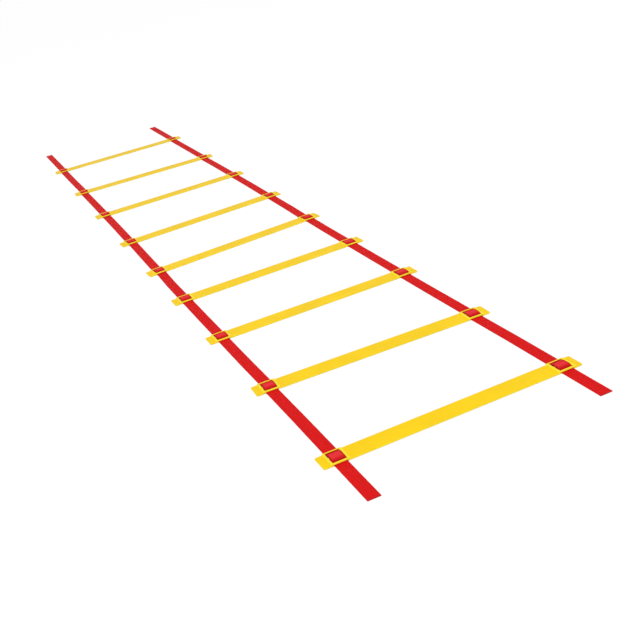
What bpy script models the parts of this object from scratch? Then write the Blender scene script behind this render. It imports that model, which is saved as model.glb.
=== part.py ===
"""Agility ladder: nine moulded rungs threaded on two flat webbing straps.

Frame: X runs along the rungs, Y along the straps from the near end to the far end, Z is up.
The origin is under the middle of the ladder, on the ground that the straps and the rungs lie on.

Each strap is one length of webbing. It is cut at the middle of each bay, where the ladder is
creased when it is folded away, so that every section can turn on its own fold line. The rungs are
slid along the straps by hand, so they lie unevenly spaced and a little askew.
"""

import math

import bmesh
import bpy
from mathutils import Matrix, Vector

# Straps
STRAP_SPACING = 0.445
STRAP_WIDTH = 0.025
STRAP_THICKNESS = 0.0014
SELVAGE_ROUNDING = 0.0004
NEAR_TAIL_LEFT = 0.148
NEAR_TAIL_RIGHT = 0.129
FAR_TAIL_LEFT = 0.367
FAR_TAIL_RIGHT = 0.322

# Places of the rungs along the straps: each bay as a share of the span from first rung to last
RUNG_SPAN = 2.629
BAY_SHARES = (0.120, 0.117, 0.110, 0.103, 0.119, 0.135, 0.135, 0.161)

# Degrees that each rung lies askew, from first to last: positive where its right end is the farther
RUNG_SKEWS = (0.2, -2.1, -0.5, 0.2, 3.8, 2.1, -0.2, -2.9, -1.7)

# Flat plate of a rung
RUNG_WIDTH = 0.042
RUNG_THICKNESS = 0.0027
RUNG_CORNER_RADIUS = 0.0030
RUNG_EDGE_ROUNDING = 0.0006
TAB_LENGTH = 0.013

# Threading frame moulded into each end of a rung
FRAME_HEIGHT = 0.0052
FRAME_OVERHANG = 0.0003
FRAME_SIDE_WIDTH = 0.0052
FRAME_CORNER_RADIUS = 0.0024
FRAME_EDGE_ROUNDING = 0.0015
OUTER_BAR_WIDTH = 0.0034
BAR_HEADROOM = 0.0012
WINDOW_SIDE_CLEARANCE = 0.0008
WINDOW_CORNER_RADIUS = 0.0010
CHANNEL_SIDE_CLEARANCE = 0.0009
CROSSBAR_WIDTH = 0.0080
CROSSBAR_PROUD = 0.0002
CROSSBAR_UNDERSIDE = 0.0005
CROSSBAR_ROUNDING = 0.0024
CROSSBAR_ROOT = 0.0015

# Fold lines
CREASE_HEADROOM = 0.0003
CREASE_DROP = 0.0010

# Room between pieces that touch, and how far a cutter runs past what it cuts
GAP = 0.0003
OVERRUN = 0.0020

# Facet counts
CORNER_STEPS = 3
ROUNDING_STEPS = 2
RAMP_STEPS = 7

YELLOW = (0.938, 0.651, 0.021)
RED = (0.694, 0.019, 0.019)

NEAR_TAILS = {"left": NEAR_TAIL_LEFT, "right": NEAR_TAIL_RIGHT}
FAR_TAILS = {"left": FAR_TAIL_LEFT, "right": FAR_TAIL_RIGHT}
LADDER_LENGTH = max(NEAR_TAILS.values()) + RUNG_SPAN + max(FAR_TAILS.values())
WINDOW_WIDTH = STRAP_WIDTH + 2 * WINDOW_SIDE_CLEARANCE
FRAME_WIDTH = WINDOW_WIDTH + 2 * FRAME_SIDE_WIDTH
FRAME_LENGTH = RUNG_WIDTH + 2 * FRAME_OVERHANG
WINDOW_LENGTH = FRAME_LENGTH - 2 * OUTER_BAR_WIDTH
RUNG_LENGTH = STRAP_SPACING + FRAME_WIDTH + 2 * TAB_LENGTH
BAR_UNDERSIDE = STRAP_THICKNESS + BAR_HEADROOM
CROSSBAR_TOP = FRAME_HEIGHT + CROSSBAR_PROUD
HUMP_RISE = CROSSBAR_TOP + GAP
HUMP_TOP = HUMP_RISE + STRAP_THICKNESS
CREASE_UP_HEIGHT = HUMP_TOP + CREASE_HEADROOM


def clear_scene():
    for obj in list(bpy.data.objects):
        bpy.data.objects.remove(obj, do_unlink=True)


def plain_material(name, colour, roughness):
    material = bpy.data.materials.new(name)
    material.use_nodes = True
    shader = material.node_tree.nodes["Principled BSDF"]
    shader.inputs["Base Color"].default_value = (*colour, 1.0)
    shader.inputs["Roughness"].default_value = roughness
    shader.inputs["Metallic"].default_value = 0.0
    material.diffuse_color = (*colour, 1.0)
    return material


def rung_places():
    """Y of each rung's centre line."""
    place = -LADDER_LENGTH / 2 + max(NEAR_TAILS.values())
    places = [place]
    for share in BAY_SHARES:
        place += share * RUNG_SPAN
        places.append(place)
    return places


def rounded_rectangle(length, width, radius, steps):
    """Corner points of a rectangle with rounded corners, anticlockwise, about the origin."""
    points = []
    for turn, (sx, sy) in enumerate(((1, 1), (-1, 1), (-1, -1), (1, -1))):
        centre = (sx * (length / 2 - radius), sy * (width / 2 - radius))
        for step in range(steps + 1):
            angle = math.radians(90) * (turn + step / steps)
            points.append((centre[0] + radius * math.cos(angle), centre[1] + radius * math.sin(angle)))
    return points


def add_loft(mesh, layers, place):
    """Closed body through outlines of equal point counts, each at its own height, about a place."""
    rings = [
        [mesh.verts.new((x + place[0], y + place[1], height)) for x, y in outline]
        for outline, height in layers
    ]
    mesh.faces.new(rings[0])
    mesh.faces.new(rings[-1])
    for ring, following in zip(rings, rings[1:]):
        for index in range(len(ring)):
            other = (index + 1) % len(ring)
            mesh.faces.new((ring[index], ring[other], following[other], following[index]))


def rounded_slab(length, width, corner, height, rounding):
    """Layers of a slab that stands on the ground, with its upper and lower edges rounded over."""
    lower = rounding / 2
    layers = [(rounded_rectangle(length - 2 * lower, width - 2 * lower, corner - lower, CORNER_STEPS), 0)]
    layers.append((rounded_rectangle(length, width, corner, CORNER_STEPS), lower))
    for step in range(ROUNDING_STEPS + 1):
        angle = math.radians(90) * step / ROUNDING_STEPS
        inset = rounding * (1 - math.cos(angle))
        outline = rounded_rectangle(length - 2 * inset, width - 2 * inset, corner - inset, CORNER_STEPS)
        layers.append((outline, height - rounding + rounding * math.sin(angle)))
    return layers


def flared_opening(length, width, corner, height, rounding):
    """Layers of a cutter for an opening whose upper rim is rounded over outwards."""
    layers = [(rounded_rectangle(length, width, corner, CORNER_STEPS), -OVERRUN)]
    for step in range(ROUNDING_STEPS + 1):
        angle = math.radians(90) * step / ROUNDING_STEPS
        flare = rounding * (1 - math.cos(angle))
        outline = rounded_rectangle(length + 2 * flare, width + 2 * flare, corner + flare, CORNER_STEPS)
        layers.append((outline, height - rounding + rounding * math.sin(angle)))
    layers.append((layers[-1][0], height + OVERRUN))
    return layers


def object_from(mesh, name):
    bmesh.ops.recalc_face_normals(mesh, faces=mesh.faces)
    data = bpy.data.meshes.new(name)
    mesh.to_mesh(data)
    mesh.free()
    obj = bpy.data.objects.new(name, data)
    bpy.context.scene.collection.objects.link(obj)
    return obj


def lofts(name, layers, places, is_cutter=False):
    """One object that holds the same loft at each place."""
    mesh = bmesh.new()
    for place in places:
        add_loft(mesh, layers, place)
    obj = object_from(mesh, name)
    if is_cutter:
        obj.hide_render = True
        obj.display_type = "WIRE"
    return obj


def crossbar_profile():
    """Section of the bar that the strap climbs over, in Y and Z: flat below, rounded on top."""
    half = CROSSBAR_WIDTH / 2
    radius = min(CROSSBAR_ROUNDING, half, CROSSBAR_TOP - CROSSBAR_UNDERSIDE)
    points = [(-half, CROSSBAR_UNDERSIDE), (half, CROSSBAR_UNDERSIDE)]
    for sign, turn in ((1, 0), (-1, 1)):
        centre = (sign * (half - radius), CROSSBAR_TOP - radius)
        for step in range(CORNER_STEPS + 1):
            angle = math.radians(90) * (turn + step / CORNER_STEPS)
            points.append((centre[0] + radius * math.cos(angle), centre[1] + radius * math.sin(angle)))
    return points


def crossbars(name):
    """The hidden middle bar of both windows, let into the frame's short sides."""
    mesh = bmesh.new()
    half = WINDOW_WIDTH / 2 + CROSSBAR_ROOT
    for side in (-1, 1):
        start = side * STRAP_SPACING / 2 - half
        verts = [mesh.verts.new((start, y, z)) for y, z in crossbar_profile()]
        face = mesh.faces.new(verts)
        pulled = bmesh.ops.extrude_face_region(mesh, geom=[face])
        moved = [v for v in pulled["geom"] if isinstance(v, bmesh.types.BMVert)]
        bmesh.ops.translate(mesh, verts=moved, vec=(2 * half, 0, 0))
    return object_from(mesh, name)


def add_boolean(obj, other, operation):
    boolean = obj.modifiers.new(operation.lower(), "BOOLEAN")
    boolean.operation = operation
    boolean.solver = "EXACT"
    boolean.object = other


def rung_mesh():
    """One rung about its own centre: plate, raised threading frames, windows, strap channels, bars."""
    ends = [(side * STRAP_SPACING / 2, 0) for side in (-1, 1)]
    plate_layers = rounded_slab(
        RUNG_LENGTH, RUNG_WIDTH, RUNG_CORNER_RADIUS, RUNG_THICKNESS, RUNG_EDGE_ROUNDING
    )
    plate = lofts("plate", plate_layers, [(0, 0)])
    frame_layers = rounded_slab(
        FRAME_WIDTH, FRAME_LENGTH, FRAME_CORNER_RADIUS, FRAME_HEIGHT, FRAME_EDGE_ROUNDING
    )
    frames = lofts("frames", frame_layers, ends)
    window_layers = flared_opening(
        WINDOW_WIDTH, WINDOW_LENGTH, WINDOW_CORNER_RADIUS, FRAME_HEIGHT, FRAME_EDGE_ROUNDING
    )
    windows = lofts("windows", window_layers, ends, True)

    half_width = STRAP_WIDTH / 2 + CHANNEL_SIDE_CLEARANCE
    half_length = FRAME_LENGTH / 2 + OVERRUN
    channel_outline = [
        (-half_width, -half_length),
        (half_width, -half_length),
        (half_width, half_length),
        (-half_width, half_length),
    ]
    channel_layers = [(channel_outline, -OVERRUN), (channel_outline, BAR_UNDERSIDE)]
    channels = lofts("channels", channel_layers, ends, True)
    bars = crossbars("crossbars")

    add_boolean(plate, frames, "UNION")
    add_boolean(plate, windows, "DIFFERENCE")
    add_boolean(plate, channels, "DIFFERENCE")
    add_boolean(plate, bars, "UNION")
    bpy.context.view_layer.update()
    graph = bpy.context.evaluated_depsgraph_get()
    shape = bpy.data.meshes.new_from_object(plate.evaluated_get(graph))
    shape.name = "rung"
    for helper in (plate, frames, windows, channels, bars):
        bpy.data.objects.remove(helper, do_unlink=True)
    shape.shade_smooth()
    shape.set_sharp_from_angle(angle=math.radians(35))
    return shape


def strap_height(offset):
    """Height of the strap's middle at a distance along Y from the rung's centre line."""
    level = CROSSBAR_WIDTH / 2 - CROSSBAR_ROUNDING / 2
    foot = WINDOW_LENGTH / 2 - STRAP_THICKNESS
    along = (abs(offset) - level) / (foot - level)
    climb = 0.5 + 0.5 * math.cos(math.pi * min(max(along, 0), 1))
    return STRAP_THICKNESS / 2 + HUMP_RISE * climb


def strap_offsets():
    """Distances from the rung's centre line at which the strap changes slope."""
    level = CROSSBAR_WIDTH / 2 - CROSSBAR_ROUNDING / 2
    foot = WINDOW_LENGTH / 2 - STRAP_THICKNESS
    side = [level + (foot - level) * step / RAMP_STEPS for step in range(RAMP_STEPS + 1)]
    return [-y for y in reversed(side)] + side


def strap_section():
    """Cross-section of the webbing, across its width and its thickness, with eased selvages."""
    half = STRAP_WIDTH / 2
    deep = STRAP_THICKNESS / 2
    ease = min(SELVAGE_ROUNDING, deep)
    return [
        (-half + ease, -deep),
        (half - ease, -deep),
        (half, -deep + ease),
        (half, deep - ease),
        (half - ease, deep),
        (-half + ease, deep),
        (-half, deep - ease),
        (-half, -deep + ease),
    ]


def strap_mesh(name, side, skew, start, end):
    """One section of strap about its own rung: flat on the ground, up and over the crossbar, and flat again.

    It runs straight at both ends, and through the window it is turned with the rung that lies askew.
    """
    edge = FRAME_LENGTH / 2 + OVERRUN
    offsets = [-edge] + strap_offsets() + [edge]
    path = [Vector((0, y, strap_height(y))) for y in offsets]
    middle = Vector((side * STRAP_SPACING / 2, 0, 0))
    turned = Matrix.Rotation(skew, 3, "Z")
    mesh = bmesh.new()
    flat = Vector((0, 0, STRAP_THICKNESS / 2))
    rings = [[mesh.verts.new(flat + Vector((across, start, deep))) for across, deep in strap_section()]]
    for index, point in enumerate(path):
        if index in (0, 1, len(path) - 2, len(path) - 1):
            upward = Vector((0, 0, 1))
        else:
            ahead = (path[index + 1] - path[index - 1]).normalized()
            upward = Vector((0, -ahead.z, ahead.y))
        ring = [
            mesh.verts.new(turned @ (middle + point + Vector((across, 0, 0)) + upward * deep) - middle)
            for across, deep in strap_section()
        ]
        rings.append(ring)
    rings.append([mesh.verts.new(flat + Vector((across, end, deep))) for across, deep in strap_section()])
    for ring, following in zip(rings, rings[1:]):
        for index in range(len(ring)):
            other = (index + 1) % len(ring)
            mesh.faces.new((ring[index], ring[other], following[other], following[index]))
    mesh.faces.new(rings[0])
    mesh.faces.new(rings[-1])
    bmesh.ops.recalc_face_normals(mesh, faces=mesh.faces)
    data = bpy.data.meshes.new(name)
    mesh.to_mesh(data)
    mesh.free()
    data.shade_smooth()
    data.set_sharp_from_angle(angle=math.radians(35))
    return data


def add_section(number, fold, parent):
    """Empty on a section's fold line. Creases turn up and down by turns, as a folded stack does."""
    empty = bpy.data.objects.new(f"section_{number}", None)
    bpy.context.scene.collection.objects.link(empty)
    empty.empty_display_size = STRAP_WIDTH
    empty.parent = parent
    empty.location = fold - (parent.matrix_world.translation if parent else Vector())
    bpy.context.view_layer.update()
    return empty


def add_piece(name, data, material, place, parent, skew=0):
    obj = bpy.data.objects.new(name, data)
    bpy.context.scene.collection.objects.link(obj)
    obj.parent = parent
    obj.location = place - parent.matrix_world.translation
    obj.rotation_euler.z = skew
    if not data.materials:
        data.materials.append(material)
    return obj


def build():
    clear_scene()
    yellow = plain_material("yellow polypropylene, injection moulded", YELLOW, 0.45)
    red = plain_material("red polypropylene webbing, woven", RED, 0.8)
    rungs = rung_places()
    folds = [(near + far) / 2 for near, far in zip(rungs, rungs[1:])]
    rung = rung_mesh()
    section = None
    for index, centre in enumerate(rungs):
        number = index + 1
        if index == 0:
            fold = Vector((0, centre, 0))
        else:
            creases_up = index % 2 == 1
            fold = Vector((0, folds[index - 1], CREASE_UP_HEIGHT if creases_up else -CREASE_DROP))
        section = add_section(number, fold, section)
        skew = math.radians(RUNG_SKEWS[index])
        add_piece(f"rung_{number}", rung, yellow, Vector((0, centre, 0)), section, skew)
        for word, side in (("left", -1), ("right", 1)):
            name = f"strap_{word}_{number}"
            start = folds[index - 1] + GAP / 2 - centre if index else -NEAR_TAILS[word]
            end = folds[index] - GAP / 2 - centre if index < len(folds) else FAR_TAILS[word]
            data = strap_mesh(name, side, skew, start, end)
            add_piece(name, data, red, Vector((side * STRAP_SPACING / 2, centre, 0)), section)


build()
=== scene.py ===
import math

import bmesh
import bpy
from mathutils import Matrix, Vector


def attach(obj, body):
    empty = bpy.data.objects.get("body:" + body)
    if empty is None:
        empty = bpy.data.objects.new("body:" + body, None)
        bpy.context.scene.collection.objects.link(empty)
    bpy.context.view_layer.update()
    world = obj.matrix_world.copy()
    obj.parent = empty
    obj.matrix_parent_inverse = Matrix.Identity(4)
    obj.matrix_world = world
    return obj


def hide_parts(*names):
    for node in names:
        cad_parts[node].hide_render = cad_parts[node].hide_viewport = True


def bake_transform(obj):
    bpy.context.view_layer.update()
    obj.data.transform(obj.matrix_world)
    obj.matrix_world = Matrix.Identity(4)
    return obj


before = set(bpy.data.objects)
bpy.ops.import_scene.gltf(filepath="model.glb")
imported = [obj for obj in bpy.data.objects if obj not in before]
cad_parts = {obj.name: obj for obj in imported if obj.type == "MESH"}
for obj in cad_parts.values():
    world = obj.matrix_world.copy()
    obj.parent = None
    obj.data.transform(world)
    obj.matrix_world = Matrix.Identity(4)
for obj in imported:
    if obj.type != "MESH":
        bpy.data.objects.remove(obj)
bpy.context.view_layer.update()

bl_info = {
    "name": "Agility ladder",
    "version": (1, 0, 0),
    "blender": (4, 5, 0),
    "location": "3D View > Sidebar > Ladder",
    "description": "Moulded rungs and woven webbing of a flat agility ladder on a studio floor",
    "category": "Add Mesh",
}

RUNG_COUNT = 9
SIDES = (("left", -1), ("right", 1))
QUARTER_TURN = math.radians(90)

# Points of the webbing's cross-section: over each rib, and round each selvage cord, in degrees.
RIB_STEPS = 4
CORD_ANGLES = (60, 30, 0, -30, -60)

# What the webbing's points keep for its threads: the place across the webbing and along it, how
# far they are melted together, and where they get a painted highlight on a crossbar or painted
# shade beside it.
MARKS = ("across", "run", "fused", "highlight_share", "nook")

# A melted end, ring by ring: back from the tip in fused ends, melted, thickness, width.
MELTED_END = (
    (2.2, 0.0, 1.0, 1.0),
    (1.5, 0.0, 1.0, 1.0),
    (1.0, 0.6, 0.96, 0.99),
    (0.7, 1.0, 0.93, 0.985),
    (0.35, 1.0, 1.0, 0.99),
    (0.1, 1.0, 0.86, 0.985),
    (0.0, 1.0, 0.55, 0.975),
)

# Sockets of a Mix node for colours, which shares their names with other kinds of value.
MIX_SHARE, MIX_FROM, MIX_TO, MIX_RESULT = 0, 6, 7, 2

# Nearly all of a noise texture's values lie between these two.
NOISE_LOW, NOISE_HIGH = 0.3, 0.7


# Shorthands for the kinds of property in the groups below.
def metres(name, description, default):
    return bpy.props.FloatProperty(
        name=name, description=description, default=default, min=0.0, unit="LENGTH", precision=5
    )


def rotation(name, description, degrees):
    return bpy.props.FloatProperty(
        name=name, description=description, default=math.radians(degrees), unit="ROTATION"
    )


def amount(name, description, default, least=0.0):
    return bpy.props.FloatProperty(name=name, description=description, default=default, min=least)


def whole(name, description, default, least):
    return bpy.props.IntProperty(name=name, description=description, default=default, min=least)


def hex_colour(name, description, default):
    return bpy.props.StringProperty(name=name, description=description, default=default)


class LayoutSizes(bpy.types.PropertyGroup):
    """How the ladder lies: the same sizes as in the solid model."""

    strap_spacing: metres("Strap spacing", "Between the middles of the two straps", 0.445)
    near_tail_left: metres("Near tail, left", "Left strap before the first rung's middle", 0.148)
    near_tail_right: metres("Near tail, right", "Right strap before the first rung's middle", 0.129)
    far_tail_left: metres("Far tail, left", "Left strap past the last rung's middle", 0.367)
    far_tail_right: metres("Far tail, right", "Right strap past the last rung's middle", 0.322)
    rung_span: metres("Rung span", "From the first rung's middle to the last one's", 2.629)
    bay_shares: bpy.props.FloatVectorProperty(
        name="Bays",
        description="Each bay as a share of the rung span, from near to far",
        size=RUNG_COUNT - 1,
        default=(0.120, 0.117, 0.110, 0.103, 0.119, 0.135, 0.135, 0.161),
    )
    rung_skews: bpy.props.FloatVectorProperty(
        name="Skews",
        description="How far each rung lies askew, positive where its right end is the farther",
        size=RUNG_COUNT,
        default=[math.radians(a) for a in (0.2, -2.1, -0.5, 0.2, 3.8, 2.1, -0.2, -2.9, -1.7)],
        unit="ROTATION",
    )


class RungSizes(bpy.types.PropertyGroup):
    """Moulded rung: the same sizes as in the solid model, with finer steps."""

    width: metres("Width", "Plate of the rung, along the straps", 0.042)
    thickness: metres("Thickness", "Plate of the rung", 0.0027)
    corner_radius: metres("Corner radius", "Plate corners seen from above", 0.0030)
    edge_rounding: metres("Edge rounding", "Plate's upper edge", 0.0006)
    tab_length: metres("Tab", "Plate past each threading frame", 0.013)
    frame_height: metres("Frame height", "Threading frame above the ground", 0.0052)
    frame_overhang: metres("Frame overhang", "Threading frame past the plate's long edge", 0.0003)
    frame_side_width: metres("Frame side", "Width of the frame's short sides", 0.0052)
    frame_corner_radius: metres("Frame corner", "Frame corners seen from above", 0.0024)
    frame_edge_rounding: metres("Frame rounding", "Frame's outer upper edges", 0.0015)
    window_edge_rounding: metres("Window rounding", "Upper edges of the window", 0.0006)
    outer_bar_width: metres("Outer bars", "Bars that the webbing passes under", 0.0034)
    bar_headroom: metres("Bar headroom", "Between the webbing and the bars above it", 0.0012)
    window_side_clearance: metres("Window room", "Beside the webbing, at each side", 0.0008)
    window_corner_radius: metres("Window corner", "Inner corners of the window", 0.0010)
    channel_side_clearance: metres("Channel room", "Beside the webbing, under the bars", 0.0009)
    crossbar_width: metres("Crossbar width", "Bar that the webbing climbs over", 0.0080)
    crossbar_proud: metres("Crossbar proud", "Crossbar above the frame", 0.0002)
    crossbar_underside: metres("Crossbar underside", "Height of its lower face", 0.0005)
    crossbar_rounding: metres("Crossbar rounding", "Its upper edges", 0.0024)
    crossbar_root: metres("Crossbar root", "How far it is let into the frame's sides", 0.0015)
    gap: metres("Gap", "Room between the webbing and the crossbar", 0.0003)
    overrun: metres("Overrun", "How far a cutter runs past what it cuts", 0.0020)
    corner_steps: whole("Corner steps", "Facets of a corner", 7, 2)
    rounding_steps: whole("Rounding steps", "Facets of a rounded edge", 5, 2)


class WebbingSizes(bpy.types.PropertyGroup):
    """Woven webbing."""

    width: metres("Width", "Across the webbing", 0.025)
    thickness: metres("Thickness", "Webbing lying flat", 0.0014)
    selvage: metres("Selvage", "Rounded edge cord at each side", 0.0006)
    rib_depth: metres("Rib depth", "Valley between two lengthwise ribs", 0.00014)
    ribs: whole("Ribs", "Lengthwise ribs across the width", 15, 3)
    bend_up: metres("Upward bend", "Half of what bends where a bay folds upwards", 0.009)
    bend_down: metres("Downward bend", "Half of what bends where a bay folds under", 0.004)
    fullness: amount(
        "Fullness", "How plump the webbing stands over the crossbar, 1 for a plain wave", 2.6, 1.0
    )
    spread: amount("Spread", "How much wider the pressed webbing is over the crossbar", 0.03)
    climb_steps: whole("Climb steps", "Rings up to the crossbar", 12, 4)
    bend_steps: whole("Bend steps", "Rings through a fold", 18, 4)
    fused_end: metres("Fused end", "Heat-cut end where the threads are melted together", 0.0022)
    still_end: metres("Still end", "Tail end that stays put when a rung slides", 0.012)


class LadderColours(bpy.types.PropertyGroup):
    """Colours in sRGB hex."""

    plastic: hex_colour("Plastic", "Moulded rungs", "#FFD500")
    # Painted light: paler yellow on the rungs' upright faces.
    plastic_upright_lit: hex_colour("Plastic edges", "Upright faces of the rungs", "#FFE83A")
    # Painted light: paler yellow on the raised threading frames.
    plastic_frame_lit: hex_colour("Plastic frames", "Raised threading frames of the rungs", "#FFE730")
    plastic_scuff: hex_colour("Plastic scuffs", "Fine rubs on the rungs", "#FFE68C")
    # Painted shade inside the windows, reddened as by bounce light from the webbing.
    plastic_window_shade: hex_colour(
        "Plastic, stained", "Inside the windows, where red webbing has rubbed off", "#EC200A"
    )
    webbing: hex_colour("Webbing", "Thread crests", "#EA1616")
    # Painted shade between the threads and at the selvages.
    webbing_valley_shade: hex_colour("Webbing valleys", "Between threads and at the selvages", "#B01216")
    # Painted highlight on top of each arch.
    webbing_crest_highlight: hex_colour("Webbing, taut", "Rubbed threads on top of each crossbar", "#FF464C")
    # Painted shade under the bars and along the arches' edges.
    webbing_nook_shade: hex_colour(
        "Webbing, in nooks", "Dulled threads under the bars and beside them", "#980A0C"
    )
    webbing_sheen: hex_colour("Webbing sheen", "Light along threads", "#FF5A5A")
    webbing_fused: hex_colour("Fused ends", "Melted ends of the webbing", "#C8141A")


class StudioSizes(bpy.types.PropertyGroup):
    """Floor, lamp, sky and camera."""

    floor: metres("Floor", "Side of the square floor", 60.0)
    floor_colour: hex_colour("Floor colour", "White card, in the light of the lamp", "#E9E9E9")
    backdrop_colour: hex_colour("Backdrop colour", "Seen round the ladder", "#FFFFFF")
    key_place: bpy.props.FloatVectorProperty(
        name="Lamp place",
        description="Middle of the overhead soft light",
        default=(-1.2, -2.9, 5.6),
        unit="LENGTH",
    )
    key_side: metres("Lamp side", "Side of the overhead soft light", 5.0)
    key_power: bpy.props.FloatProperty(
        name="Lamp power", description="Overhead soft light", default=205.0, unit="POWER"
    )
    sky_low: amount("Low sky", "Even light near the horizon", 0.80)
    sky_high: amount("High sky", "Even light from overhead", 0.36)
    camera_place: bpy.props.FloatVectorProperty(
        name="Camera place",
        description="Where the camera stands",
        default=(-0.6657, -2.8474, 0.9050),
        unit="LENGTH",
        precision=5,
    )
    camera_heading: rotation("Heading", "Turned to the right of +Y", 16.819)
    camera_tilt: rotation("Tilt", "Raised from straight down", 66.3361)
    camera_roll: rotation("Roll", "About the line of sight", -12.983)
    camera_lens: amount("Lens", "In millimetres", 58.574)
    camera_sensor: amount("Sensor", "Width in millimetres", 36.0)
    camera_shift: bpy.props.FloatVectorProperty(
        name="Shift",
        description="Right and up, as a share of the picture",
        size=2,
        default=(0.0350, 0.0069),
    )


def linear(code):
    """Linear RGBA of an sRGB hex colour."""
    parts = [int(code.lstrip("#")[i:i + 2], 16) / 255 for i in (0, 2, 4)]
    return (*[c / 12.92 if c <= 0.04045 else ((c + 0.055) / 1.055) ** 2.4 for c in parts], 1.0)


def add_node(tree, kind, settings=None, links=None):
    """Adds a shader node.

    Settings are properties or socket values. Links are socket: the socket or node it comes from.
    """
    node = tree.nodes.new("ShaderNode" + kind)
    for key, value in (settings or {}).items():
        if isinstance(key, int) or key in node.inputs:
            node.inputs[key].default_value = value
        else:
            setattr(node, key, value)
    for key, source in (links or {}).items():
        if isinstance(source, bpy.types.Node):
            source = source.outputs[0]
        tree.links.new(source, node.inputs[key])
    return node


def new_material(name):
    """A material without nodes, and its node tree."""
    material = bpy.data.materials.new(name)
    material.use_nodes = True
    material.node_tree.nodes.clear()
    return material, material.node_tree


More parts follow.
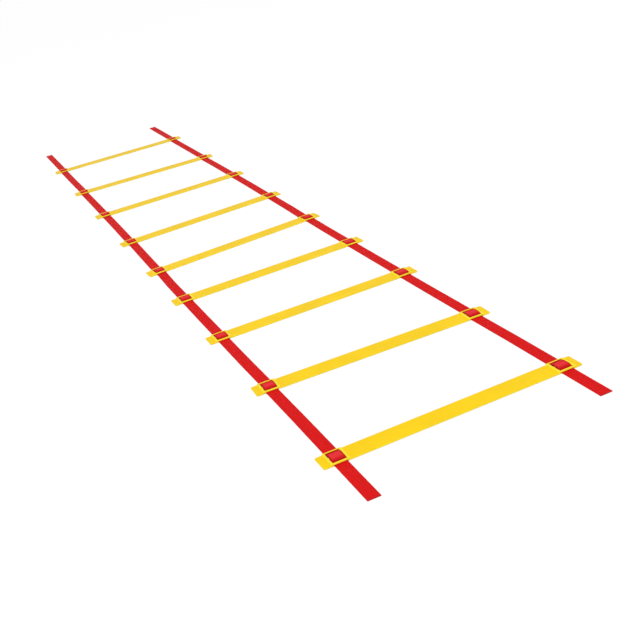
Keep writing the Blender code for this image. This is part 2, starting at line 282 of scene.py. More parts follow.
def moulded_polypropylene(colours, sizes, spacing, window):
    """Polypropylene, injection moulded in a lightly spark-eroded tool.

    It gives the eye one even, strong yellow with a soft satin light on it, a fine grain only from
    close by, slightly cloudy colour, and a few pale rubs.
    """
    material, tree = new_material("yellow polypropylene, injection moulded, satin")
    place = add_node(tree, "TexCoord").outputs

    # Every rung has its own clouds and rubs.
    seeds_apart = 37.0
    which = add_node(tree, "ObjectInfo").outputs["Random"]
    seed = add_node(tree, "Math", {"operation": "MULTIPLY", 1: seeds_apart}, {0: which})

    # Melt flow leaves clouds 40 to 60 mm long.
    clouds_per_metre = 22.0
    clouds = add_node(
        tree, "TexNoise", {"noise_dimensions": "4D", "Scale": clouds_per_metre, "Detail": 2.0},
        {"Vector": place["Object"], "W": seed},
    )
    cloudy = add_node(
        tree, "MapRange",
        {"From Min": NOISE_LOW, "From Max": NOISE_HIGH, "To Min": 0.955, "To Max": 1.03},
        {"Value": clouds},
    )

    # Painted light: upright faces are painted a paler yellow, standing in for light falling on
    # them.
    facing = add_node(tree, "SeparateXYZ", {}, {"Vector": place["Normal"]}).outputs
    level = add_node(tree, "Math", {"operation": "ABSOLUTE"}, {0: facing["Z"]})
    upright = add_node(tree, "MapRange", {"From Min": 0.75, "From Max": 0.1}, {"Value": level})
    body = add_node(
        tree, "Mix",
        {
            "data_type": "RGBA",
            MIX_FROM: linear(colours.plastic),
            MIX_TO: linear(colours.plastic_upright_lit),
        },
        {MIX_SHARE: upright},
    )

    # Painted light: the raised threading frames are painted a paler yellow, as if lit more brightly
    # than the plate.
    above = add_node(tree, "SeparateXYZ", {}, {"Vector": place["Object"]}).outputs["Z"]
    top, rim, bar = sizes.frame_height, sizes.window_edge_rounding, sizes.outer_bar_width
    raised = add_node(
        tree, "MapRange", {"From Min": sizes.thickness, "From Max": top - sizes.edge_rounding},
        {"Value": above},
    )
    frame_lit = add_node(
        tree, "Mix", {"data_type": "RGBA", MIX_TO: linear(colours.plastic_frame_lit)},
        {MIX_SHARE: raised, MIX_FROM: body.outputs[MIX_RESULT]},
    )

    # Painted shade, reddened as by bounce light from the webbing, on the crossbar and low on the
    # bars that it passes under.
    # Both windows are folded onto a quarter of one, and measured outwards from its edges.
    strongest_window_shade = 0.97
    mirrored = add_node(tree, "VectorMath", {"operation": "ABSOLUTE"}, {0: place["Object"]})
    centred = add_node(
        tree, "VectorMath", {"operation": "SUBTRACT", 1: (spacing / 2, 0.0, 0.0)}, {0: mirrored}
    )
    quarter = add_node(tree, "VectorMath", {"operation": "ABSOLUTE"}, {0: centred})
    outside = add_node(
        tree, "VectorMath", {"operation": "SUBTRACT", 1: (window[0] / 2, window[1] / 2, 0.0)},
        {0: quarter},
    )
    out = add_node(tree, "SeparateXYZ", {}, {"Vector": outside}).outputs
    inward = add_node(
        tree, "MapRange",
        {"From Min": -0.2 * rim, "From Max": -0.5 * rim, "To Max": strongest_window_shade},
        {"Value": out["X"]},
    )
    on_crossbar = add_node(
        tree, "MapRange", {"From Min": -0.5 * bar, "From Max": -bar}, {"Value": out["Y"]}
    )
    on_bars = add_node(
        tree, "MapRange", {"From Min": 0.5 * rim, "From Max": 0.0, "To Max": strongest_window_shade},
        {"Value": out["Y"]},
    )
    low = add_node(
        tree, "MapRange", {"From Min": top - rim, "From Max": top - 2 * rim}, {"Value": above}
    )
    low_on_bars = add_node(tree, "Math", {"operation": "MULTIPLY"}, {0: on_bars, 1: low})
    shaded_parts = add_node(
        tree, "Math", {"operation": "MAXIMUM"}, {0: on_crossbar, 1: low_on_bars}
    )
    window_shade = add_node(tree, "Math", {"operation": "MULTIPLY"}, {0: inward, 1: shaded_parts})
    window_shaded = add_node(
        tree, "Mix", {"data_type": "RGBA", MIX_TO: linear(colours.plastic_window_shade)},
        {MIX_SHARE: window_shade, MIX_FROM: frame_lit.outputs[MIX_RESULT]},
    )
    tinted = add_node(
        tree, "VectorMath", {"operation": "SCALE"},
        {0: window_shaded.outputs[MIX_RESULT], "Scale": cloudy},
    )

    # Rubs from the ground: hair-fine in life, drawn about 0.6 mm wide and 15 mm long so that they
    # show, slanted a little, and only in patches about 30 mm across.
    rubs_per_metre, rub_slant = (70.0, 900.0, 300.0), 0.35
    patches_per_metre = 30.0
    strongest_rub = 0.35
    stretched = add_node(
        tree, "Mapping", {"Rotation": (0.0, 0.0, rub_slant), "Scale": rubs_per_metre},
        {"Vector": place["Object"]},
    )
    rubs = add_node(
        tree, "TexNoise",
        {"noise_dimensions": "4D", "Scale": 1.0, "Detail": 3.0, "Roughness": 0.6},
        {"Vector": stretched, "W": seed},
    )
    patches = add_node(
        tree, "TexNoise", {"noise_dimensions": "4D", "Scale": patches_per_metre, "Detail": 1.0},
        {"Vector": place["Object"], "W": seed},
    )
    rubs_and_highlight = add_node(
        tree, "MapRange", {"From Min": 0.63, "From Max": 0.74, "To Max": strongest_rub},
        {"Value": rubs},
    )
    patchy = add_node(tree, "MapRange", {"From Min": 0.5, "From Max": 0.7}, {"Value": patches})
    scuff = add_node(tree, "Math", {"operation": "MULTIPLY"}, {0: rubs_and_highlight, 1: patchy})
    colour = add_node(
        tree, "Mix", {"data_type": "RGBA", MIX_TO: linear(colours.plastic_scuff)},
        {MIX_SHARE: scuff, MIX_FROM: tinted},
    )

    # Tool grain is about 0.1 mm in life, drawn at 0.7 mm so that it shows from close by.
    grains_per_metre, grain_depth = 1400.0, 0.0001
    grain = add_node(
        tree, "TexNoise", {"Scale": grains_per_metre, "Detail": 2.0}, {"Vector": place["Object"]}
    )
    bump = add_node(
        tree, "Bump", {"Strength": 0.25, "Distance": grain_depth}, {"Height": grain}
    )
    satin = add_node(
        tree, "MapRange",
        {"From Min": NOISE_LOW, "From Max": NOISE_HIGH, "To Min": 0.40, "To Max": 0.52},
        {"Value": grain},
    )
    shader = add_node(
        tree, "BsdfPrincipled", {"IOR": 1.49, "Metallic": 0.0, "Specular IOR Level": 0.1},
        {"Base Color": colour.outputs[MIX_RESULT], "Roughness": satin, "Normal": bump},
    )
    add_node(tree, "OutputMaterial", {}, {"Surface": shader})
    return material


def woven_webbing(colours, sizes):
    """Polypropylene webbing, woven in lengthwise ribs with a rounded cord at each selvage.

    It gives the eye a clear red with painted shade between the ribs and at the selvages, a painted
    highlight on top of each arch and painted shade under the bars, small stitches that step from
    rib to rib, a soft sheen along the threads, and darker, glossier melted ends.
    """
    material, tree = new_material("red polypropylene webbing, woven")
    across, run, fused, highlight_share, nook = (
        add_node(tree, "Attribute", {"attribute_name": mark}).outputs["Fac"] for mark in MARKS
    )

    # Rib by rib: 15 ribs in the flat of 25 mm webbing, so each is 1.6 mm wide.
    pitch = (sizes.width - 2 * sizes.selvage) / sizes.ribs
    rib = add_node(
        tree, "Math", {"operation": "MULTIPLY_ADD", 1: 1 / pitch, 2: sizes.ribs / 2}, {0: across}
    )
    number = add_node(tree, "Math", {"operation": "FLOOR"}, {0: rib})
    within = add_node(tree, "Math", {"operation": "FRACT"}, {0: rib})
    arch = add_node(tree, "Math", {"operation": "MULTIPLY", 1: math.pi}, {0: within})
    crest = add_node(tree, "Math", {"operation": "SINE"}, {0: arch})

    # Stitches are about 1.1 mm long in life, drawn at 2 mm so that they show; every other rib is
    # half a stitch ahead, and each stitch leans across its rib as a twill thread does.
    stitches_per_metre, stitch_lean, rib_lead = 500.0, 0.35, 0.5
    lead = add_node(tree, "Math", {"operation": "MULTIPLY", 1: rib_lead}, {0: number})
    lean = add_node(
        tree, "Math", {"operation": "MULTIPLY_ADD", 1: stitch_lean}, {0: within, 2: lead}
    )
    stitch = add_node(
        tree, "Math", {"operation": "MULTIPLY_ADD", 1: stitches_per_metre}, {0: run, 2: lean}
    )
    along = add_node(tree, "Math", {"operation": "FRACT"}, {0: stitch})
    swell = add_node(tree, "Math", {"operation": "MULTIPLY", 1: math.pi}, {0: along})
    thread = add_node(tree, "Math", {"operation": "SINE"}, {0: swell})
    weave = add_node(tree, "Math", {"operation": "MULTIPLY"}, {0: crest, 1: thread})
    height = add_node(tree, "MapRange", {"From Max": 0.75}, {"Value": weave})

    # Each rib's yarn took the dye a little differently, and the strap is a little cloudy, with
    # clouds 30 to 110 mm long. Painted shade darkens the valleys between threads and the curved
    # selvage cords.
    half = sizes.width / 2
    clouds_per_metre = 9.0
    selvage_start, selvage_end, selvage_light = half - 0.0022, half - 0.0004, 0.45
    spot = add_node(tree, "CombineXYZ", {}, {"X": number, "Y": run})
    stripes = add_node(
        tree, "TexNoise", {"Scale": clouds_per_metre, "Detail": 3.0}, {"Vector": spot}
    )
    shade = add_node(
        tree, "MapRange",
        {"From Min": 0.25, "From Max": 0.75, "To Min": 0.86, "To Max": 1.10},
        {"Value": stripes},
    )
    sideways = add_node(tree, "Math", {"operation": "ABSOLUTE"}, {0: across})
    selvage = add_node(
        tree, "MapRange",
        {
            "From Min": selvage_start,
            "From Max": selvage_end,
            "To Min": 1.0,
            "To Max": selvage_light,
        },
        {"Value": sideways},
    )
    lit = add_node(tree, "Math", {"operation": "MULTIPLY"}, {0: height, 1: selvage})
    thread_light = add_node(tree, "MapRange", {"To Min": 0.5}, {"Value": lit})
    weave_shaded = add_node(
        tree, "Mix",
        {
            "data_type": "RGBA",
            MIX_FROM: linear(colours.webbing_valley_shade),
            MIX_TO: linear(colours.webbing),
        },
        {MIX_SHARE: thread_light},
    )
    # Painted highlight on top of each arch.
    rubs_and_highlight = add_node(tree, "Math", {"operation": "MULTIPLY"}, {0: highlight_share, 1: lit})
    highlighted = add_node(
        tree, "Mix", {"data_type": "RGBA", MIX_TO: linear(colours.webbing_crest_highlight)},
        {MIX_SHARE: rubs_and_highlight, MIX_FROM: weave_shaded.outputs[MIX_RESULT]},
    )
    shaded = add_node(
        tree, "VectorMath", {"operation": "SCALE"}, {0: highlighted.outputs[MIX_RESULT], "Scale": shade}
    )

    # Painted shade: under the bars, and along the edges of each arch, the threads are painted a
    # darker red.
    border_start, border_end, nook_strength = half - 0.0035, half - 0.0005, 0.8
    border = add_node(
        tree, "MapRange", {"From Min": border_start, "From Max": border_end}, {"Value": sideways}
    )
    beside = add_node(tree, "Math", {"operation": "MULTIPLY"}, {0: highlight_share, 1: border})
    nooks = add_node(tree, "Math", {"operation": "MAXIMUM"}, {0: nook, 1: beside})
    nook_shade_share = add_node(tree, "Math", {"operation": "MULTIPLY", 1: nook_strength}, {0: nooks})
    nook_shaded = add_node(
        tree, "Mix", {"data_type": "RGBA", MIX_TO: linear(colours.webbing_nook_shade)},
        {MIX_SHARE: nook_shade_share, MIX_FROM: shaded},
    )

    # Melted ends are smoother and glossier than the weave.
    colour = add_node(
        tree, "Mix", {"data_type": "RGBA", MIX_TO: linear(colours.webbing_fused)},
        {MIX_SHARE: fused, MIX_FROM: nook_shaded.outputs[MIX_RESULT]},
    )
    rough = add_node(tree, "MapRange", {"To Min": 0.62, "To Max": 0.28}, {"Value": fused})
    relief = add_node(tree, "MapRange", {"To Min": 0.4, "To Max": 0.1}, {"Value": fused})
    thread_depth = 0.00025
    bump = add_node(
        tree, "Bump", {"Distance": thread_depth}, {"Height": weave, "Strength": relief}
    )
    shader = add_node(
        tree, "BsdfPrincipled",
        {
            "IOR": 1.49,
            "Metallic": 0.0,
            "Specular IOR Level": 0.05,
            "Sheen Weight": 0.05,
            "Sheen Roughness": 0.4,
            "Sheen Tint": linear(colours.webbing_sheen),
        },
        {"Base Color": colour.outputs[MIX_RESULT], "Roughness": rough, "Normal": bump},
    )
    add_node(tree, "OutputMaterial", {}, {"Surface": shader})
    return material


def rung_places(layout):
    """Y of each rung's middle; the ladder with its longer tails is centred on the origin."""
    near_tail = max(layout.near_tail_left, layout.near_tail_right)
    far_tail = max(layout.far_tail_left, layout.far_tail_right)
    place = -(near_tail + layout.rung_span + far_tail) / 2 + near_tail
    places = [place]
    for share in layout.bay_shares:
        place += share * layout.rung_span
        places.append(place)
    return places


def window_size(sizes, webbing):
    """Window of a threading frame, across the webbing and along it."""
    length_along = sizes.width + 2 * sizes.frame_overhang - 2 * sizes.outer_bar_width
    return webbing.width + 2 * sizes.window_side_clearance, length_along


def rounded_rectangle(length, width, radius, steps):
    """Corner points of a rectangle with rounded corners, anticlockwise, about the origin."""
    points = []
    for turn, (sx, sy) in enumerate(((1, 1), (-1, 1), (-1, -1), (1, -1))):
        centre = (sx * (length / 2 - radius), sy * (width / 2 - radius))
        for step in range(steps + 1):
            angle = QUARTER_TURN * (turn + step / steps)
            points.append((
                centre[0] + radius * math.cos(angle),
                centre[1] + radius * math.sin(angle),
            ))
    return points


def linked_object(mesh, name):
    """An object in the scene from a bmesh, which it frees."""
    bmesh.ops.recalc_face_normals(mesh, faces=mesh.faces)
    data = bpy.data.meshes.new(name)
    mesh.to_mesh(data)
    mesh.free()
    obj = bpy.data.objects.new(name, data)
    bpy.context.scene.collection.objects.link(obj)
    return obj


def loft_object(name, layers, places):
    """One object that holds the same closed loft at each place."""
    mesh = bmesh.new()
    for place in places:
        rings = [
            [mesh.verts.new((x + place[0], y + place[1], height)) for x, y in outline]
            for outline, height in layers
        ]
        mesh.faces.new(rings[0])
        mesh.faces.new(rings[-1])
        for ring, following in zip(rings, rings[1:]):
            for index in range(len(ring)):
                other = (index + 1) % len(ring)
                mesh.faces.new((ring[index], ring[other], following[other], following[index]))
    return linked_object(mesh, name)


def rim_layers(length, width, corner, height, rounding, way, sizes):
    """Layers that round an upper edge over, inwards for a way of -1 and outwards for 1."""
    layers = []
    for step in range(sizes.rounding_steps + 1):
        angle = QUARTER_TURN * step / sizes.rounding_steps
        shift = way * rounding * (1 - math.cos(angle))
        outline = rounded_rectangle(
            length + 2 * shift, width + 2 * shift, corner + shift, sizes.corner_steps
        )
        layers.append((outline, height - rounding + rounding * math.sin(angle)))
    return layers


def slab_layers(length, width, corner, height, rounding, sizes):
    """Layers of a slab on the ground: its lower edge is eased and its upper edge rounded over."""
    steps = sizes.corner_steps
    eased = rounding / 2
    ground = rounded_rectangle(length - 2 * eased, width - 2 * eased, corner - eased, steps)
    return [
        (ground, 0),
        (rounded_rectangle(length, width, corner, steps), eased),
        *rim_layers(length, width, corner, height, rounding, -1, sizes),
    ]


def window_layers(length, width, corner, height, rounding, sizes):
    """Layers of a cutter for the window, whose upper rim is rounded over outwards."""
    rim = rim_layers(length, width, corner, height, rounding, 1, sizes)
    return [
        (rounded_rectangle(length, width, corner, sizes.corner_steps), -sizes.overrun),
        *rim,
        (rim[-1][0], height + sizes.overrun),
    ]


def crossbars(sizes, spacing, window_width):
    """The middle bar of both windows: flat below, rounded on top."""
    half = sizes.crossbar_width / 2
    top = sizes.frame_height + sizes.crossbar_proud
    radius = sizes.crossbar_rounding
    profile = [(-half, sizes.crossbar_underside), (half, sizes.crossbar_underside)]
    for sign, turn in ((1, 0), (-1, 1)):
        for step in range(sizes.corner_steps + 1):
            angle = QUARTER_TURN * (turn + step / sizes.corner_steps)
            profile.append((
                sign * (half - radius) + radius * math.cos(angle),
                top - radius + radius * math.sin(angle),
            ))
    mesh = bmesh.new()
    reach = window_width / 2 + sizes.crossbar_root
    for side in (-1, 1):
        start = side * spacing / 2 - reach
        face = mesh.faces.new([mesh.verts.new((start, y, z)) for y, z in profile])
        highlighted = bmesh.ops.extrude_face_region(mesh, geom=[face])
        moved = [v for v in highlighted["geom"] if isinstance(v, bmesh.types.BMVert)]
        bmesh.ops.translate(mesh, verts=moved, vec=(2 * reach, 0, 0))
    return linked_object(mesh, "crossbars")


def rung_mesh(sizes, layout, webbing):
    """One rung about its own middle: plate, threading frames, windows, channels and crossbars."""
    spacing = layout.strap_spacing
    window_width, window_length = window_size(sizes, webbing)
    frame_width = window_width + 2 * sizes.frame_side_width
    frame_length = sizes.width + 2 * sizes.frame_overhang
    rung_length = spacing + frame_width + 2 * sizes.tab_length
    ends = [(side * spacing / 2, 0) for side in (-1, 1)]
    plate_layers = slab_layers(
        rung_length, sizes.width, sizes.corner_radius, sizes.thickness, sizes.edge_rounding, sizes
    )
    frame_layers = slab_layers(
        frame_width, frame_length, sizes.frame_corner_radius,
        sizes.frame_height, sizes.frame_edge_rounding, sizes,
    )
    cutter_layers = window_layers(
        window_width, window_length, sizes.window_corner_radius,
        sizes.frame_height, sizes.window_edge_rounding, sizes,
    )
    half_width = webbing.width / 2 + sizes.channel_side_clearance
    half_length = frame_length / 2 + sizes.overrun
    channel = [
        (sx * half_width, sy * half_length) for sx, sy in ((-1, -1), (1, -1), (1, 1), (-1, 1))
    ]
    channel_layers = [
        (channel, -sizes.overrun), (channel, webbing.thickness + sizes.bar_headroom)
    ]
    plate = loft_object("plate", plate_layers, [(0, 0)])
    steps = (
        (loft_object("frames", frame_layers, ends), "UNION"),
        (loft_object("windows", cutter_layers, ends), "DIFFERENCE"),
        (loft_object("channels", channel_layers, ends), "DIFFERENCE"),
        (crossbars(sizes, spacing, window_width), "UNION"),
    )
    for other, operation in steps:
        boolean = plate.modifiers.new(operation.lower(), "BOOLEAN")
        boolean.operation = operation
        boolean.solver = "EXACT"
        boolean.object = other
    bpy.context.view_layer.update()
    graph = bpy.context.evaluated_depsgraph_get()
    shape = bpy.data.meshes.new_from_object(plate.evaluated_get(graph))
    shape.name = "rung"
    for helper in (plate, *[other for other, _ in steps]):
        bpy.data.objects.remove(helper, do_unlink=True)
    shape.shade_smooth()
    sharp_from = math.radians(35)
    shape.set_sharp_from_angle(angle=sharp_from)
    return shape


def webbing_outline(sizes):
    """Cross-section of the webbing as (across, deep): ribbed faces between two rounded cords."""
    flat = sizes.width / 2 - sizes.selvage
    deep = sizes.thickness / 2
    cord_deep = 0.92 * deep  # the cords are a little flatter than the weave between them
    count = RIB_STEPS * sizes.ribs
    upper = []
    for i in range(count + 1):
        valley = 0.5 + 0.5 * math.cos(2 * math.pi * i / RIB_STEPS)
        upper.append((-flat + 2 * flat * i / count, deep - sizes.rib_depth * valley))
    cord = [
        (
            flat + sizes.selvage * math.cos(math.radians(a)),
            cord_deep * math.sin(math.radians(a)),
        )
        for a in CORD_ANGLES
    ]
    lower = [(across, -height) for across, height in reversed(upper)]
    return upper + cord + lower + [(-across, -height) for across, height in cord]


class Ring:
    """One cross-section of a strap: its middle, its two directions and the run along the strap."""

    def __init__(self, middle, across, upward, run):
        self.middle = middle
        self.across = across
        self.upward = upward
        self.run = run
        # Marks for the threads, and shares of the webbing's own thickness and width.
        self.fused = 0.0
        self.highlight_share = 0.0
        self.nook = 0.0
        self.thickness = 1.0
        self.width = 1.0

    def between(self, other, share):
        """Ring at a share of the way to another one."""
        return Ring(
            self.middle.lerp(other.middle, share),
            self.across.lerp(other.across, share),
            self.upward.lerp(other.upward, share),
            self.run + (other.run - self.run) * share,
        )

    def at(self, other, y):
        """Ring at a Y on the line to another one."""
        return self.between(other, (y - self.middle.y) / (other.middle.y - self.middle.y))

    def reach(self, half):
        """Lowest and highest Y of the ring."""
        sweep = abs(self.across.y) * half
        return self.middle.y - sweep, self.middle.y + sweep


def end_faces(start, count, ribs):
    """Faces that close a strap's end: quads from the upper points to the lower, and two cords."""
    flat = RIB_STEPS * ribs
    cord = len(CORD_ANGLES) + 1
    upper = [start + i for i in range(flat + 1)]
    lower = [start + count - cord - i for i in range(flat + 1)]
    quads = [(upper[i], upper[i + 1], lower[i + 1], lower[i]) for i in range(flat)]
    return quads + [
        tuple(start + flat + i for i in range(cord + 1)),
        tuple(start + (count - cord + i) % count for i in range(cord + 1)),
    ]


def skin(name, rings, sizes, material, capped=False):
    """Webbing through the rings, with what its threads need kept on its points."""
    outline = webbing_outline(sizes)
    verts = []
    marks = {mark: [] for mark in MARKS}
    for ring in rings:
        for place, deep in outline:
            verts.append(
                ring.middle
                + ring.across * place * ring.width
                + ring.upward * deep * ring.thickness
            )
            marks["across"].append(place)
            for mark in MARKS[1:]:
                marks[mark].append(getattr(ring, mark))
    count = len(outline)
    faces = []
    for row in range(len(rings) - 1):
        for index in range(count):
            other = (index + 1) % count
            a, b = row * count, (row + 1) * count
            faces.append((a + index, a + other, b + other, b + index))
    if capped:
        faces += end_faces((len(rings) - 1) * count, count, sizes.ribs)
    data = bpy.data.meshes.new(name)
    data.from_pydata(verts, [], faces)
    for mark, values in marks.items():
        data.attributes.new(mark, "FLOAT", "POINT").data.foreach_set("value", values)
    data.materials.append(material)
    mesh = bmesh.new()
    mesh.from_mesh(data)
    bmesh.ops.recalc_face_normals(mesh, faces=mesh.faces)
    if not capped:
        # An open tube has no inside, so it is turned by a face in the middle of its upper side.
        mesh.faces.ensure_lookup_table()
        upper_face = mesh.faces[RIB_STEPS * sizes.ribs // 2]
        if upper_face.normal.dot(rings[0].upward) < 0:
            bmesh.ops.reverse_faces(mesh, faces=mesh.faces)
    mesh.to_mesh(data)
    mesh.free()
    data.shade_smooth()
    obj = bpy.data.objects.new(name, data)
    bpy.context.scene.collection.objects.link(obj)
    return obj


class Strap:
    """One strap, threaded through every rung.

    Measured from a rung's middle, the arch meets the flat webbing at the seam, under an outer bar,
    the webbing is clear of the frame at the edge, and it climbs from its foot to the level top.
    """

    def __init__(self, scene, word, side, material):
        layout, rungs, webbing = scene.ladder_layout, scene.ladder_rungs, scene.ladder_webbing
        self.word, self.material, self.webbing = word, material, webbing
        self.x = side * layout.strap_spacing / 2
        self.skews = tuple(layout.rung_skews)
        self.places = rung_places(layout)
        self.folds = [(near + far) / 2 for near, far in zip(self.places, self.places[1:])]
        near_tail = layout.near_tail_left if side < 0 else layout.near_tail_right
        far_tail = layout.far_tail_left if side < 0 else layout.far_tail_right
        self.stops = [self.places[0] - near_tail, *self.folds, self.places[-1] + far_tail]
        frame_half = rungs.width / 2 + rungs.frame_overhang
        self.edge = frame_half + rungs.overrun
        self.seam = frame_half - rungs.outer_bar_width / 2
        self.foot = frame_half - rungs.outer_bar_width - webbing.thickness
        self.level = rungs.crossbar_width / 2 - rungs.crossbar_rounding / 2
        self.rise = rungs.frame_height + rungs.crossbar_proud + rungs.gap
        self.beside_fold = {}

    def height(self, offset):
        """Height of the webbing's middle at a distance from a rung's: up and over the crossbar."""
        along = (abs(offset) - self.level) / (self.foot - self.level)
        wave = math.pi * min(max(along, 0), 1) ** self.webbing.fullness
        climb = 0.5 + 0.5 * math.cos(wave)
        return self.webbing.thickness / 2 + self.rise * climb

    def threaded(self, index, offset):
        """Ring at a distance from a rung's middle, turned with the rung that lies askew."""
        probe = 0.00005
        slope = self.height(offset + probe) - self.height(offset - probe)
        lean = math.atan2(slope, 2 * probe)
        turn = Matrix.Rotation(self.skews[index], 3, "Z")
        centre = Vector((0, self.places[index], 0))
        middle = Vector((self.x, offset, self.height(offset)))
        upward = Vector((0, -math.sin(lean), math.cos(lean)))
        run = self.places[index] + offset
        return Ring(centre + turn @ middle, turn @ Vector((1, 0, 0)), turn @ upward, run)

    def lying(self, y):
        """Ring that lies flat on the ground."""
        middle = Vector((self.x, y, self.webbing.thickness / 2))
        return Ring(middle, Vector((1, 0, 0)), Vector((0, 0, 1)), y)

    def half_bend(self, fold):
        """Half of what bends at a fold; the bays fold up and under by turns."""
        return self.webbing.bend_up if fold % 2 == 0 else self.webbing.bend_down

    def thread_arch(self, index):
        """The arch over a rung's crossbar, which moves with the rung."""
        word, number, steps = self.word, index + 1, self.webbing.climb_steps
        climb = [self.level + (self.foot - self.level) * i / steps for i in range(steps + 1)]
        offsets = [-self.seam] + [-y for y in reversed(climb)] + [0.0] + climb + [self.seam]
        rings = []
        for offset in offsets:
            ring = self.threaded(index, offset)
            if rings:
                ring.run = rings[-1].run + (ring.middle - rings[-1].middle).length
            # Painted highlight on top, painted shade towards the feet, and pressed wider over the
            # crossbar.
            depth = abs(offset) / self.foot
            ring.highlight_share = max(0.0, 1 - depth ** 2) ** 2
            ring.nook = min(max(2 * depth - 1, 0.0), 1.0)
            ring.width = 1 + self.webbing.spread * max(0.0, 1 - depth ** 4)
            rings.append(ring)
        arch = skin(f"webbing_{word}_arch_{number}", rings, self.webbing, self.material)
        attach(arch, f"rung_{number}")
        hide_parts(f"strap_{word}_{number}")

    def lay_flat(self, index, way):
        """The flat webbing on one side of a rung, as far as the next bend or the strap's end."""
        word, number, x, webbing = self.word, index + 1, self.x, self.webbing
        bound = index if way < 0 else index + 1
        stop, tail, fold = self.stops[bound], bound in (0, RUNG_COUNT), bound - 1
        inner, outer = self.threaded(index, way * self.seam), self.threaded(index, way * self.edge)
        end = self.lying(stop)
        still = outer.at(end, stop - way * (webbing.still_end if tail else self.half_bend(fold)))
        rings = [inner, outer, outer.between(still, 0.5), still]
        if tail:
            for back, fused, thickness, width in MELTED_END:
                ring = outer.at(end, stop - way * webbing.fused_end * back)
                ring.fused, ring.thickness, ring.width = fused, thickness, width
                rings.append(ring)
        else:
            self.beside_fold[fold, way] = (still, outer, end)
        name = "near" if way < 0 else "far"
        flat = skin(
            f"webbing_{word}_{name}_flat_{number}", rings, webbing, self.material, tail
        )
        farther, nearer = (max, min) if way > 0 else (min, max)
        start = farther(outer.reach(webbing.width / 2))
        stop_blend = nearer(still.reach(webbing.width / 2))
        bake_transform(flat)

    def bend_at(self, fold):
        """The webbing that bends where a bay folds."""
        word, x, webbing = self.word, self.x, self.webbing
        near_still, near_outer, end = self.beside_fold[fold, 1]
        far_still, far_outer, _ = self.beside_fold[fold, -1]
        middle = self.folds[fold]
        rings = []
        for step in range(webbing.bend_steps + 1):
            y = middle + self.half_bend(fold) * (2 * step / webbing.bend_steps - 1)
            rings.append(near_outer.at(end, y) if y <= middle else end.at(far_outer, y))
        piece = skin(f"webbing_{word}_bend_{fold + 1}", rings, webbing, self.material)
        start = max(near_still.reach(webbing.width / 2))
        stop = min(far_still.reach(webbing.width / 2))
        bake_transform(piece)

    def thread(self):
        """Every piece of the strap, from near to far."""
        for index in range(RUNG_COUNT):
            self.thread_arch(index)
            self.lay_flat(index, -1)
            self.lay_flat(index, 1)
        for fold in range(RUNG_COUNT - 1):
            self.bend_at(fold)


def seen_white(tree):
    """Node that is 1 where the camera looks, straight on, by gloss or through glass."""
    ray = add_node(tree, "LightPath").outputs
    seen = add_node(
        tree, "Math", {"operation": "MAXIMUM"},
        {0: ray["Is Camera Ray"], 1: ray["Is Transmission Ray"]},
    )
    return add_node(tree, "Math", {"operation": "MAXIMUM"}, {0: seen, 1: ray["Is Glossy Ray"]})


class LADDER_OT_rungs(bpy.types.Operator):
    """Mould the rungs, each with two threading frames, and lay them where the ladder has them"""

    bl_idname = "ladder.mould_rungs"
    bl_label = "Mould rungs"

    def execute(self, context):
        scene = context.scene
        rungs, layout, webbing = scene.ladder_rungs, scene.ladder_layout, scene.ladder_webbing
        shape = rung_mesh(rungs, layout, webbing)
        window = window_size(rungs, webbing)
        shape.materials.clear()
        shape.materials.append(
            moulded_polypropylene(scene.ladder_colours, rungs, layout.strap_spacing, window)
        )
        for index, place in enumerate(rung_places(layout)):
            rung = bpy.data.objects.new(f"moulded_rung_{index + 1}", shape)
            scene.collection.objects.link(rung)
            rung.location = (0, place, 0)
            rung.rotation_euler.z = layout.rung_skews[index]
            smoothing = rung.modifiers.new("even light on flats", "WEIGHTED_NORMAL")
            smoothing.keep_sharp = True
            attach(rung, f"rung_{index + 1}")
            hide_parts(f"rung_{index + 1}")
        return {"FINISHED"}


class LADDER_OT_webbing(bpy.types.Operator):
    """Weave the two straps and thread each one under, over and under the bars of every rung"""

    bl_idname = "ladder.thread_webbing"
    bl_label = "Thread webbing"

    def execute(self, context):
        scene = context.scene
        material = woven_webbing(scene.ladder_colours, scene.ladder_webbing)
        for word, side in SIDES:
            Strap(scene, word, side, material).thread()
        return {"FINISHED"}


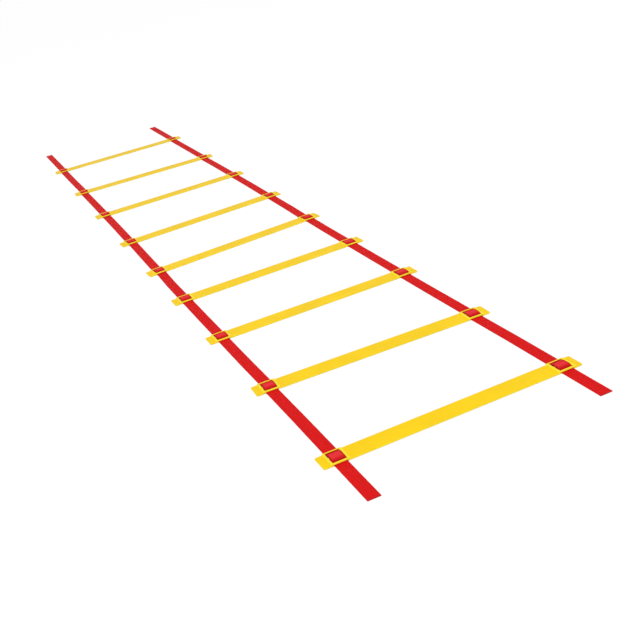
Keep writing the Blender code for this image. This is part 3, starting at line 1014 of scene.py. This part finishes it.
class LADDER_OT_studio(bpy.types.Operator):
    """Lay the pale floor, hang the soft light and set the camera where the photograph was taken"""

    bl_idname = "ladder.set_studio"
    bl_label = "Set studio"

    def execute(self, context):
        scene, studio = context.scene, context.scene.ladder_studio
        self.lay_floor(scene, studio)
        self.hang_light(scene, studio)
        self.set_camera(scene, studio)
        scene.view_settings.view_transform = "Standard"
        return {"FINISHED"}

    def lay_floor(self, scene, studio):
        """A square of white card, a hair below the rungs"""
        half, lowered = studio.floor / 2, 0.0002
        data = bpy.data.meshes.new("floor")
        corners = [(-half, -half, 0), (half, -half, 0), (half, half, 0), (-half, half, 0)]
        data.from_pydata(corners, [], [(0, 1, 2, 3)])
        floor = bpy.data.objects.new("floor", data)
        floor.location.z = -lowered
        scene.collection.objects.link(floor)

        # Smooth white card: matt, without grain or gloss, so the eye sees an even white round the
        # ladder. Plain white has a share of what is seen, and the lit card, with its shadows, has
        # the rest.
        white_strength, white_share = 1.06, 0.88
        material, tree = new_material("white card floor, matt")
        card = add_node(tree, "BsdfDiffuse", {"Color": linear(studio.floor_colour)})
        white = add_node(
            tree, "Emission",
            {"Color": linear(studio.backdrop_colour), "Strength": white_strength},
        )
        seen = seen_white(tree)

        # The floor stays bright in the open and is dark in the narrow gaps by webbing and bars.
        gap_reach, closed, wide_open = 0.02, 0.12, 0.32
        gaps = add_node(tree, "AmbientOcclusion", {"samples": 8, "Distance": gap_reach})
        open_floor = add_node(
            tree, "MapRange",
            {"From Min": closed, "From Max": wide_open, "To Max": white_share},
            {"Value": gaps.outputs["AO"]},
        )
        share = add_node(tree, "Math", {"operation": "MULTIPLY"}, {0: seen, 1: open_floor})
        mix = add_node(tree, "MixShader", {}, {0: share, 1: card, 2: white})
        add_node(tree, "OutputMaterial", {}, {"Surface": mix})
        data.materials.append(material)

    def hang_light(self, scene, studio):
        """An even sky, brighter near the horizon, and one large soft lamp"""
        world = bpy.data.worlds.new("even light all round")
        world.use_nodes = True
        tree = world.node_tree
        tree.nodes.clear()
        seen = seen_white(tree)

        # Heights above the horizon, as a share of straight up, between which the sky changes.
        low, high = 0.2, 1.0
        direction = add_node(tree, "TexCoord").outputs["Generated"]
        heights = add_node(tree, "SeparateXYZ", {}, {"Vector": direction})
        sky = add_node(
            tree, "MapRange",
            {
                "From Min": low,
                "From Max": high,
                "To Min": studio.sky_low,
                "To Max": studio.sky_high,
            },
            {"Value": heights.outputs["Z"]},
        )
        strength = add_node(
            tree, "Mix", {"data_type": "FLOAT", "B": 1.0}, {"Factor": seen, "A": sky}
        )
        light = add_node(
            tree, "Background", {"Color": linear(studio.backdrop_colour)}, {"Strength": strength}
        )
        add_node(tree, "OutputWorld", {}, {"Surface": light})
        scene.world = world
        lamp = bpy.data.lights.new("overhead soft light", "AREA")
        lamp.shape = "SQUARE"
        lamp.size = studio.key_side
        lamp.energy = studio.key_power
        key = bpy.data.objects.new("overhead soft light", lamp)
        key.location = studio.key_place
        towards_ladder = Vector((0, 0, 0)) - key.location
        key.rotation_euler = towards_ladder.to_track_quat("-Z", "Y").to_euler()
        scene.collection.objects.link(key)

    def set_camera(self, scene, studio):
        """The photograph's camera: its place, its line of sight and its framing"""
        data = bpy.data.cameras.new("camera")
        data.sensor_width = studio.camera_sensor
        data.lens = studio.camera_lens
        data.shift_x, data.shift_y = studio.camera_shift
        camera = bpy.data.objects.new("camera", data)
        turn = (
            Matrix.Rotation(-studio.camera_heading, 3, "Z")
            @ Matrix.Rotation(studio.camera_tilt, 3, "X")
            @ Matrix.Rotation(studio.camera_roll, 3, "Z")
        )
        camera.matrix_world = Matrix.Translation(Vector(studio.camera_place)) @ turn.to_4x4()
        scene.collection.objects.link(camera)
        scene.camera = camera


class LADDER_PT_sidebar(bpy.types.Panel):
    """Lists what can be made, and the sizes and colours that it is made from"""

    bl_idname = "LADDER_PT_sidebar"
    bl_label = "Agility ladder"
    bl_space_type = "VIEW_3D"
    bl_region_type = "UI"
    bl_category = "Ladder"

    def draw(self, context):
        for maker in MAKERS:
            self.layout.operator(maker.bl_idname)
        for label in GROUPS:
            group = getattr(context.scene, label)
            box = self.layout.box()
            for key in type(group).__annotations__:
                box.prop(group, key)


GROUPS = {
    "ladder_layout": LayoutSizes,
    "ladder_rungs": RungSizes,
    "ladder_webbing": WebbingSizes,
    "ladder_colours": LadderColours,
    "ladder_studio": StudioSizes,
}
MAKERS = (LADDER_OT_rungs, LADDER_OT_webbing, LADDER_OT_studio)


def register():
    for kind in (*GROUPS.values(), *MAKERS, LADDER_PT_sidebar):
        bpy.utils.register_class(kind)
    for label, kind in GROUPS.items():
        setattr(bpy.types.Scene, label, bpy.props.PointerProperty(type=kind))


def unregister():
    for label in GROUPS:
        delattr(bpy.types.Scene, label)
    for kind in reversed((*GROUPS.values(), *MAKERS, LADDER_PT_sidebar)):
        bpy.utils.unregister_class(kind)


def main():
    register()
    bpy.ops.ladder.mould_rungs()
    bpy.ops.ladder.thread_webbing()
    bpy.ops.ladder.set_studio()


if __name__ == "__main__":
    main()
